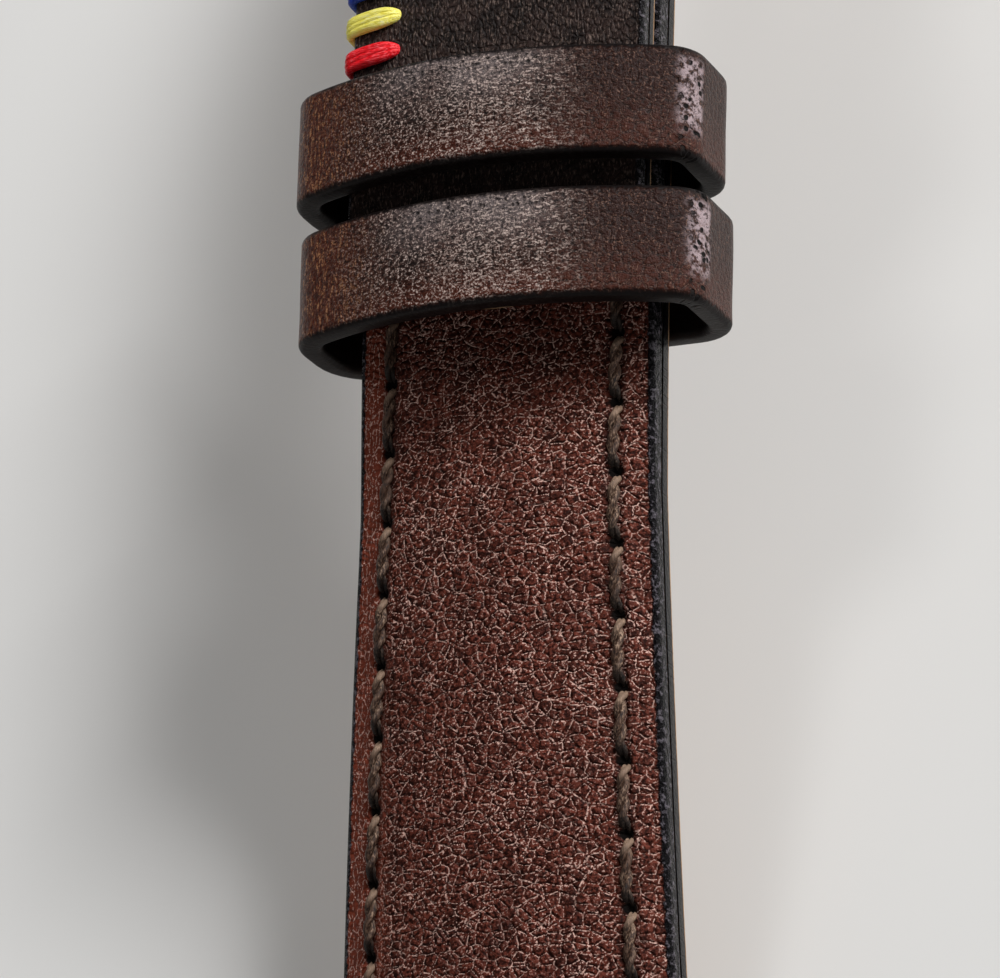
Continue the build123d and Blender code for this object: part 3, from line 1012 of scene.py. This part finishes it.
class Finish:
    """A material of this strap, made from nodes."""

    def __init__(self, name):
        self.material = bpy.data.materials.new(name)
        self.material.use_nodes = True
        self.tree = self.material.node_tree
        self.tree.nodes.clear()

    def node(self, kind, settings=None, sockets=None, out=0):
        made = self.tree.nodes.new(kind)
        for name, value in (settings or {}).items():
            setattr(made, name, value)
        for name, value in (sockets or {}).items():
            if isinstance(value, Socket):
                self.tree.links.new(value.link, made.inputs[name])
            else:
                made.inputs[name].default_value = value
        return Socket(self, made.outputs[out]) if made.outputs else None

    def attribute(self, name):
        settings = {"attribute_name": name, "attribute_type": "GEOMETRY"}
        return self.node("ShaderNodeAttribute", settings, out="Vector")

    def parts(self, vector):
        """The three numbers of a vector."""
        outputs = self.node("ShaderNodeSeparateXYZ", {}, {"Vector": vector}).link.node.outputs
        return [Socket(self, output) for output in outputs]

    def scaled(self, vector, scale):
        return self.node("ShaderNodeMapping", {}, {"Vector": vector, "Scale": scale})

    def noise(self, vector, scale, detail=2.0, rough=0.5, out=0):
        """Cloudy pattern, as a number or, with out 1, as a colour."""
        sockets = {"Vector": vector, "Scale": scale, "Detail": detail, "Roughness": rough}
        return self.node("ShaderNodeTexNoise", {"noise_dimensions": "3D"}, sockets, out)

    def cells(self, vector, scale, feature="DISTANCE_TO_EDGE"):
        """Distance to the edges of a pattern of cells or, with F1, to their middles."""
        settings = {"voronoi_dimensions": "2D", "feature": feature}
        sockets = {"Vector": vector, "Scale": scale}
        return self.node("ShaderNodeTexVoronoi", settings, sockets, "Distance")

    def warped(self, vector, scale, amount):
        """The places moved about by noise, so that a pattern isn't regular."""
        kind = "ShaderNodeVectorMath"
        shift = self.noise(vector, scale, out=1)
        centred = self.node(kind, {"operation": "SUBTRACT"}, {0: shift, 1: (0.5, 0.5, 0.5)})
        moved = self.node(kind, {"operation": "SCALE"}, {0: centred, "Scale": amount})
        return self.node(kind, {"operation": "ADD"}, {0: vector, 1: moved})

    def blend(self, a, b, factor):
        return self.node("ShaderNodeMix", {"data_type": "RGBA"}, {0: factor, 6: a, 7: b}, out=2)

    def coats(self, first, *others):
        """Colours laid one over another, each where its mask has it."""
        colour = tone(*first)
        for shade, mask in others:
            colour = self.blend(colour, tone(*shade), mask)
        return colour

    def bump(self, height, distance, strength=1.0):
        sockets = {"Height": height, "Distance": distance, "Strength": strength}
        return self.node("ShaderNodeBump", {}, sockets, out="Normal")

    def surface(self, **sockets):
        named = {name.replace("_", " "): value for name, value in sockets.items()}
        shader = self.node("ShaderNodeBsdfPrincipled", {}, named, out="BSDF")
        self.node("ShaderNodeOutputMaterial", {}, {"Surface": shader})
        return self.material


def tone(red, green, blue):
    """A colour given as on a screen, 0 to 255."""

    def linear(value):
        v = value / 255
        return v / 12.92 if v <= 0.04045 else ((v + 0.055) / 1.055) ** 2.4

    return (linear(red), linear(green), linear(blue), 1.0)


edge_black = (9, 7, 10)
# Near black of the keepers' burnished edges, also laid as painted shade over their inner faces.
rim_and_shade_brown = (6, 2, 2)
# Near black of the painted shade at one end of each stitch.
stitch_end_shade = (8, 5, 4)
hole_reach = (0.3, 0.52)
groove_reach = (0.3, 0.75)
row_end_share = 0.7
row_end_fade = 0.2


def sewn(across, run, side, rows):
    """Masks of the thread's holes and of the line pressed in between them."""
    right = across.math("GREATER_THAN", across, 0.0)
    first = rows[-1][0] + (rows[1][0] - rows[-1][0]) * right
    last = rows[-1][-1] + (rows[1][-1] - rows[-1][-1]) * right
    off = side - stitch_margin
    nearest = run.math("PINGPONG", run - first - stitch_pitch / 2, stitch_pitch / 2)
    reach = off.math("SQRT", off * off + nearest * nearest)
    past = stitch_pitch * row_end_share
    ends = (run - last + past).rise(0.0, row_end_fade) * (first + past - run).rise(0.0, row_end_fade)
    return reach.fall(*hole_reach) * ends, abs(off).fall(*groove_reach) * ends


def paint_edge(f, flat, side, reach, face, height, lump_height):
    """Lays the black edge paint, with painted glints on its lumps, over a face: its mask, and the
    colour and height with it.
    """
    ragged = f.noise(flat, 2.4, 3.0)
    paint = (side + (ragged - 0.5) * 0.35).fall(reach - 0.05, reach + 0.06)
    lumps = f.noise(flat, 3.4, 3.0, 0.6)
    # Painted highlight: pale flecks on the paint's lumps stand for glints.
    paint_with_glints = f.coats(edge_black, ((150, 142, 152), lumps.rise(0.5, 0.66) * 0.36))
    height = height * (1 - paint) + lumps * lump_height * paint
    return paint, f.blend(face, paint_with_glints, paint), height


def face_leather():
    f = Finish("grained_brown_leather")
    flat = f.attribute("flat")
    across, run = f.parts(flat)[:2]
    side = f.parts(f.attribute("rim"))[0]
    hole, groove = sewn(across, run, side, short_rows)
    pebble = f.cells(f.scaled(f.warped(flat, 1.0, 0.32), (1.0, 1.25, 1.0)), 1.45)
    long_line = f.cells(f.scaled(f.warped(flat, 0.5, 1.1), (0.4, 0.85, 1.0)), 1.0)
    upright = f.cells(f.scaled(f.warped(flat, 1.6, 0.3), (2.0, 0.75, 1.0)), 1.5)
    dotted = f.noise(flat, 8.0, 1.0)
    grit = f.noise(flat, 4.4, 3.0, 0.62)
    patchy = f.noise(flat, 0.42)
    mottle = f.noise(flat, 0.75, 3.0)
    left = across.fall(-7.6, -6.2)
    uneven = 0.55 + 0.4 * patchy.rise(0.36, 0.6)
    # Painted highlights: the pale crease, wrinkle, glint and stretched lines below stand for glints of
    # light on the grain's ridges.
    crease = pebble.fall(0.016, 0.07) * dotted.rise(0.46, 0.56) * (1 - left) * uneven
    broken = dotted.rise(0.42, 0.52) * f.noise(flat, 1.2).rise(0.44, 0.56)
    wrinkle = long_line.fall(0.006, 0.034) * broken * (1 - left)
    glint = grit.rise(0.52, 0.6) * dotted.rise(0.53, 0.61) * (0.3 + 0.7 * patchy.rise(0.35, 0.65))
    stretched = upright.fall(0.02, 0.09) * dotted.rise(0.42, 0.56) * left * 0.85
    lines = crease | (wrinkle * 0.9) | (glint * 0.85) | stretched
    face = f.coats(
        (38, 10, 4),
        ((104, 50, 38), grit.rise(0.38, 0.58)),
        ((40, 15, 9), mottle.fall(0.34, 0.56) * 0.55),
        ((138, 62, 42), left * 0.6),
        # painted glints along the grain
        ((226, 186, 172), lines),
        # painted shade in the thread's holes and along the sewn line
        ((8, 4, 3), hole | (groove * 0.4)),
    )
    height = pebble.rise(0.0, 0.28) * 0.7 + grit * 0.8 - hole * 1.5
    paint, colour, height = paint_edge(f, flat, side, 0.34, face, height, 3.0)
    normal = f.bump(height, 0.00017)
    roughness = 0.5 + 0.12 * grit - 0.12 * lines - 0.34 * paint + 0.3 * hole
    return f.surface(Base_Color=colour, Roughness=roughness, Normal=normal, Specular_IOR_Level=0.09)


def tail_leather():
    f = Finish("fine_dark_leather")
    flat = f.attribute("flat")
    across, run = f.parts(flat)[:2]
    side = f.parts(f.attribute("rim"))[0]
    hole, groove = sewn(across, run, side, long_rows)
    pebble = f.cells(f.scaled(f.warped(flat, 1.6, 0.4), (1.2, 0.85, 1.0)), 2.1)
    stroke = f.noise(f.scaled(flat, (2.1, 0.62, 1.0)), 5.0, 3.0, 0.65)
    grit = f.noise(flat, 7.0, 3.0, 0.65)
    mottle = f.noise(flat, 0.8, 3.0)
    face = f.coats(
        (22, 13, 11),
        ((50, 35, 31), mottle.rise(0.3, 0.7)),
        ((132, 112, 102), stroke.rise(0.53, 0.66) * 0.62),
        ((10, 6, 5), pebble.fall(0.02, 0.12) * grit.rise(0.38, 0.55) * 0.7),
        # painted shade in the thread's holes and along the sewn line
        ((12, 7, 6), hole | (groove * 0.35)),
    )
    height = pebble.rise(0.0, 0.3) * 0.5 + stroke * 0.7 - hole * 1.5
    paint, colour, height = paint_edge(f, flat, side, 0.22, face, height, 2.6)
    normal = f.bump(height, 0.00014)
    roughness = 0.46 + 0.16 * grit - 0.28 * paint + 0.3 * hole
    return f.surface(Base_Color=colour, Roughness=roughness, Normal=normal, Specular_IOR_Level=0.16)


def keeper_leather():
    f = Finish("waxed_keeper_leather")
    flat = f.attribute("flat")
    around, across = f.parts(flat)[:2]
    side, depth = f.parts(f.attribute("rim"))[:2]
    bent = f.warped(flat, 1.4, 0.35)
    speck = f.noise(f.scaled(bent, (1.0, 1.3, 1.0)), 4.0, 3.0, 0.65)
    dotted = f.noise(flat, 8.0, 1.0)
    streak = f.noise(f.scaled(bent, (1.9, 0.45, 1.0)), 3.8, 3.0, 0.65)
    dash = f.noise(f.scaled(bent, (0.6, 2.0, 1.0)), 3.4, 3.0, 0.65)
    scales = f.cells(bent, 1.5)
    mottle = f.noise(flat, 0.5, 3.0)
    patchy = f.noise(flat, 0.33)
    left = around.rise(35.5, 43.0)
    right = around.fall(23.0, 28.0)
    middle = 1 - (left | right)
    corner = around.rise(16.7, 17.3) * around.fall(18.3, 19.3)
    clusters = f.noise(flat, 0.9, 1.0).rise(0.46, 0.52)
    dots = f.cells(f.warped(flat, 1.0, 0.3), 1.7, "F1")
    rim_dots = dots.fall(0.1, 0.21) * across.rise(1.9, 2.2) * across.fall(2.6, 2.9) * middle
    pore = (dots.fall(0.19, 0.31) * clusters * corner) | (rim_dots * 0.6)
    # Painted sheen: a greyish pale patch near the band's upper edge, over the middle of the top, stands
    # for a lamp's sheen.
    sheen_painted = across.rise(-0.8, 2.8) * around.rise(24.0, 30.0) * around.fall(34.0, 39.0)
    # Painted highlight: pale blotches along the right front corner stand for a lamp's highlight strip.
    corner_highlight = f.noise(flat, 2.2, 3.0, 0.65).rise(0.4, 0.56) * corner
    corner_highlight = corner_highlight * across.rise(-2.4, -1.0) * across.fall(2.3, 2.9)
    speckled = speck.rise(0.5, 0.6) * dotted.rise(0.46, 0.58) * around.rise(26.0, 32.0)
    dashed = dash.rise(0.51, 0.61) * dotted.rise(0.38, 0.52) * around.fall(30.5, 35.0)
    scaly = scales.fall(0.02, 0.09) * dotted.rise(0.44, 0.58) * 0.5
    strokes = streak.rise(0.53, 0.66) | (scales.fall(0.02, 0.08) * 0.7)
    face = f.coats(
        (26, 12, 9),
        ((72, 46, 38), speck.rise(0.38, 0.58)),
        ((30, 15, 11), mottle.fall(0.32, 0.54) * 0.6),
        ((90, 34, 13), (left * 0.85) | (across.fall(-3.1, -0.4) * 0.55)),
        ((36, 13, 8), right * 0.85),
        ((78, 36, 22), right * across.fall(-3.0, 1.4) * scales.rise(0.03, 0.2) * 0.6),
        # painted sheen
        ((128, 118, 118), sheen_painted * (0.25 + 0.35 * patchy.rise(0.3, 0.6))),
        # painted highlight on the right corner
        ((188, 168, 172), corner_highlight * 0.75),
        ((214, 192, 182), (speckled | dashed | scaly) * middle * 0.8),
        ((204, 148, 104), streak.rise(0.52, 0.64) * dotted.rise(0.36, 0.56) * left * 0.8),
        ((140, 106, 90), strokes * right * dotted.rise(0.47, 0.58) * 0.55),
        ((14, 6, 4), (streak.fall(0.38, 0.48) * left * 0.7) | (speck.fall(0.36, 0.46) * 0.75)),
        ((6, 3, 2), pore),
    )
    ragged = f.noise(flat, 2.6, 3.0)
    # Near black on the burnished edges, and painted shade over the keeper's inner faces.
    burnished_and_inner_shade = (side + (ragged - 0.5) * 0.5).fall(0.16, 0.5) | depth.rise(0.3, 0.6)
    colour = f.blend(face, tone(*rim_and_shade_brown), burnished_and_inner_shade * 0.97)
    height = speck * 0.6 + streak * 0.4 + scales.rise(0.0, 0.3) * 0.12 - pore * 1.6
    normal = f.bump(height * (1 - burnished_and_inner_shade * 0.8), 0.00019)
    roughness = 0.27 + 0.16 * speck + 0.3 * pore + 0.14 * burnished_and_inner_shade
    return f.surface(Base_Color=colour, Roughness=roughness, Normal=normal, Specular_IOR_Level=0.15)


def lining_leather():
    f = Finish("smooth_tan_lining")
    flat = f.attribute("flat")
    side, low = f.parts(f.attribute("rim"))[:2]
    mottle = f.noise(flat, 0.35, 3.0)
    grit = f.noise(flat, 5.0, 3.0)
    pore = f.cells(flat, 1.9, "F1").fall(0.07, 0.16)
    paint = side.fall(0.05, 0.12) * (low + (grit - 0.5) * 0.1).rise(0.26, 0.32)
    colour = f.coats(
        (148, 114, 84),
        ((180, 146, 112), mottle.rise(0.3, 0.7)),
        ((112, 82, 58), pore * 0.5),
        (edge_black, paint),
    )
    normal = f.bump(grit * 0.5 - pore * 0.5 + paint * f.noise(flat, 3.4, 3.0, 0.6), 0.00009)
    roughness = 0.62 - 0.28 * paint + grit * 0.06
    return f.surface(Base_Color=colour, Roughness=roughness, Normal=normal, Specular_IOR_Level=0.2)


def felt():
    f = Finish("pad_felt")
    flat = f.attribute("flat")
    fibre = f.noise(f.scaled(f.warped(flat, 1.5, 0.8), (1.0, 0.4, 1.0)), 6.0, 4.0, 0.7)
    colour = f.coats((150, 136, 118), ((196, 182, 160), fibre.rise(0.35, 0.65)))
    return f.surface(Base_Color=colour, Roughness=0.92, Normal=f.bump(fibre, 0.0001, 0.8))


def stitch_phase(f, flat):
    """How far along its stitch a place of a sewn row is, from 0 to 1."""
    across, run = f.parts(flat)[:2]
    right = across.math("GREATER_THAN", across, 0.0)
    far = run.math("GREATER_THAN", run, short_length)
    low = short_rows[-1][0]
    first = low + (short_rows[1][0] - low) * right * (1 - far) + (long_rows[1][0] - low) * far
    return run.math("FRACT", (run - first) * (1 / stitch_pitch) + 0.5)


def thread(name, tones, gloss, grain, fibre_depth, in_rows=False):
    """Spun thread: fibres along the strands; in the sewn rows, a painted highlight at one end of each
    stitch and painted shade at the other.
    """
    f = Finish(name)
    flat = f.attribute("flat")
    fibre = f.noise(f.scaled(f.warped(flat, 1.0, 0.2), grain), 3.6, 3.0, 0.6)
    uneven = f.noise(flat, 0.8)
    dark, mid, light = tones
    coats = [(mid, fibre.rise(0.34, 0.54)), (light, fibre.rise(0.5, 0.66) * uneven.rise(0.3, 0.7))]
    if in_rows:
        phase = stitch_phase(f, flat)
        # Painted highlight on one end of each stitch and painted shade on the other.
        coats += [(light, phase.rise(0.66, 0.84) * 0.45), (stitch_end_shade, phase.fall(0.1, 0.36) * 0.85)]
    return f.surface(
        Base_Color=f.coats(dark, *coats),
        Roughness=gloss + 0.12 * fibre,
        Normal=f.bump(fibre, fibre_depth),
        Specular_IOR_Level=0.3,
    )


def floss(name, tones):
    """Loose, glossy thread of the coloured wraps."""
    return thread(name, tones, 0.34, (0.5, 4.0, 4.0), 0.00003)


def steel(name, shade, roughness, fine):
    f = Finish(name)
    spot = f.node("ShaderNodeTexCoord", out="Object")
    smear = f.noise(spot, 400.0, 3.0)
    lines = f.noise(f.scaled(spot, fine), 1.0, 3.0, 0.6)
    lighter = [min(255, value * 1.12) for value in shade]
    return f.surface(
        Base_Color=f.coats(shade, (lighter, smear.rise(0.3, 0.7))),
        Metallic=1.0,
        Roughness=roughness + 0.1 * smear + 0.06 * lines,
        Normal=f.bump(lines * 0.6 + smear * 0.2, 0.00001, 0.5),
    )


# The whole strap
grey_tones = ((26, 13, 8), (80, 56, 43), (172, 144, 122))
red_tones = ((194, 0, 14), (246, 8, 28), (252, 104, 112))
yellow_tones = ((222, 206, 64), (250, 240, 116), (254, 250, 184))
blue_tones = ((18, 36, 120), (34, 62, 176), (80, 110, 214))

short_skin(face_leather())
long_skin(tail_leather())

pad_felt = felt()
stations = spread(filler_start, short_length - filler_from_bar, pad_step)
pad("short_pad", stations, lining_thick + glue_line, short_heights, pad_felt, "short_filler")
stations = spread(loop_length - long_filler_length, loop_length - filler_start, pad_step)
pad("long_pad", stations, long_lining_thick + glue_line, long_heights, pad_felt, "long_filler")

tan = lining_leather()
ends = (turned_leather, short_length - turned_leather)
lining("short_backing", ends, lining_thick, no_lift, half_width, [], tan, "short_lining")
ends = (short_length - tail_reach, loop_length - turned_leather)
holes = hole_tools()
lining("long_backing", ends, long_lining_thick, long_lift, tail_width, holes, tan, "long_lining")

grey_thread = thread("waxed_grey_thread", grey_tones, 0.5, (3.0, 0.7, 3.0), 0.00008, in_rows=True)
sewn_pieces = (("short", short_rows, short_heights), ("long", long_rows, long_heights))
for side, word in ((-1, "left"), (1, "right")):
    for piece, rows, heights_at in sewn_pieces:
        name, node = f"{piece}_thread_{word}", f"{piece}_stitching_{word}"
        stitch_row(name, rows[side], side, heights_at, grey_thread, node)

sheen_painted = keeper_leather()
fixed_at = (fixed_keeper_from, fixed_keeper_clearance, 0)
keeper_loop("fixed_keeper_loop", fixed_at, sheen_painted, "strap", "fixed_keeper")
free_at = (free_keeper_from, free_keeper_clearance, free_keeper_shift)
keeper_loop("free_keeper_loop", free_at, sheen_painted, "free_keeper", "free_keeper")

wraps = (("red", red_tones), ("yellow", yellow_tones), ("blue", blue_tones))
for number, (word, tones) in enumerate(wraps):
    finish = floss(f"{word}_floss", tones)
    edge_wrap(number, f"{word}_wrap", finish, f"{word}_edge_stitch")

polished = steel("polished_steel", (200, 200, 204), 0.12, (300, 3000, 3000))
turned = steel("turned_bar_steel", (176, 176, 180), 0.26, (9000, 300, 300))
drawn = steel("drawn_spring_steel", (150, 150, 154), 0.3, (5000, 500, 500))
for name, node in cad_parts.items():
    if name.startswith("buckle_frame") or name.startswith("buckle_tongue"):
        metal = polished
    elif name.endswith("_spring"):
        metal = drawn
    elif "_bar_" in name:
        metal = turned
    else:
        continue
    node.data.materials.clear()
    node.data.materials.append(metal)


# Floor, light and camera
def shot_frame():
    """Matrix of the photograph's camera."""
    s = short_length - shot_from_bar
    turn = Matrix.Rotation(math.radians(shot_tilt) - heading_at(s), 4, "X")
    side, roll = math.radians(shot_side), math.radians(shot_roll)
    towards = Vector((math.sin(side), -math.cos(side), 0))
    right = Vector((math.cos(side), math.sin(side), 0))
    up = Vector((0, 0, 1))
    level_right = right * math.cos(roll) + up * math.sin(roll)
    level_up = up * math.cos(roll) - right * math.sin(roll)
    axes = Matrix((level_right, level_up, towards)).transposed().to_4x4()
    middle = Vector((shot_offset[0], 0, shot_offset[1])) + towards * shot_distance
    return Matrix.Translation(place(0, s, 0)) @ turn @ Matrix.Translation(middle * MM) @ axes


lamp_distance = 1.2
lit_place = (0, 58, 2)


def lamp(name, direction, size, power, shot):
    """Soft lamp in a direction seen from the camera, aimed at the keepers."""
    target = place(*lit_place)
    away = (shot.to_3x3() @ Vector(direction)).normalized()
    light = bpy.data.lights.new(name, "AREA")
    light.shape = "RECTANGLE"
    light.size, light.size_y = size
    light.energy = power
    made = put(name, light)
    made.location = target + away * lamp_distance
    made.rotation_euler = away.to_track_quat("Z", "Y").to_euler()


near_clip = 0.01
floor_half = 3
room_light = 0.15

shot = shot_frame()
camera_data = bpy.data.cameras.new("camera")
camera_data.sensor_width = sensor
camera_data.lens = shot_focus / image_width * sensor
camera_data.clip_start = near_clip
camera = put("camera", camera_data)
camera.matrix_world = shot
bpy.context.scene.camera = camera

lamp("key", (0.35, 0.85, 0.42), (0.45, 0.35), 13.5, shot)
lamp("sheen", (-0.53, 0.64, 0.555), (0.35, 0.3), 1.7, shot)
lamp("right_strip", (0.82, 0.43, 0.365), (0.26, 0.4), 4.2, shot)
lamp("front_fill", (-0.35, -0.3, 0.88), (0.8, 0.8), 1.3, shot)

floor_mesh = bpy.data.meshes.new("floor")
floor_bm = bmesh.new()
bmesh.ops.create_grid(floor_bm, x_segments=1, y_segments=1, size=floor_half)
floor_bm.to_mesh(floor_mesh)
floor_bm.free()
floor = put("floor", floor_mesh)
f = Finish("pale_floor")
spot = f.node("ShaderNodeTexCoord", out="Object")
grey = f.coats((222, 221, 219), ((228, 227, 225), f.noise(spot, 6.0)))
floor_mesh.materials.append(f.surface(Base_Color=grey, Roughness=0.8))

world = bpy.data.worlds.new("pale_room")
bpy.context.scene.world = world
world.use_nodes = True
room = world.node_tree.nodes["Background"]
room.inputs["Color"].default_value = (0.8, 0.8, 0.8, 1)
room.inputs["Strength"].default_value = room_light

bpy.context.scene.view_settings.view_transform = "Standard"
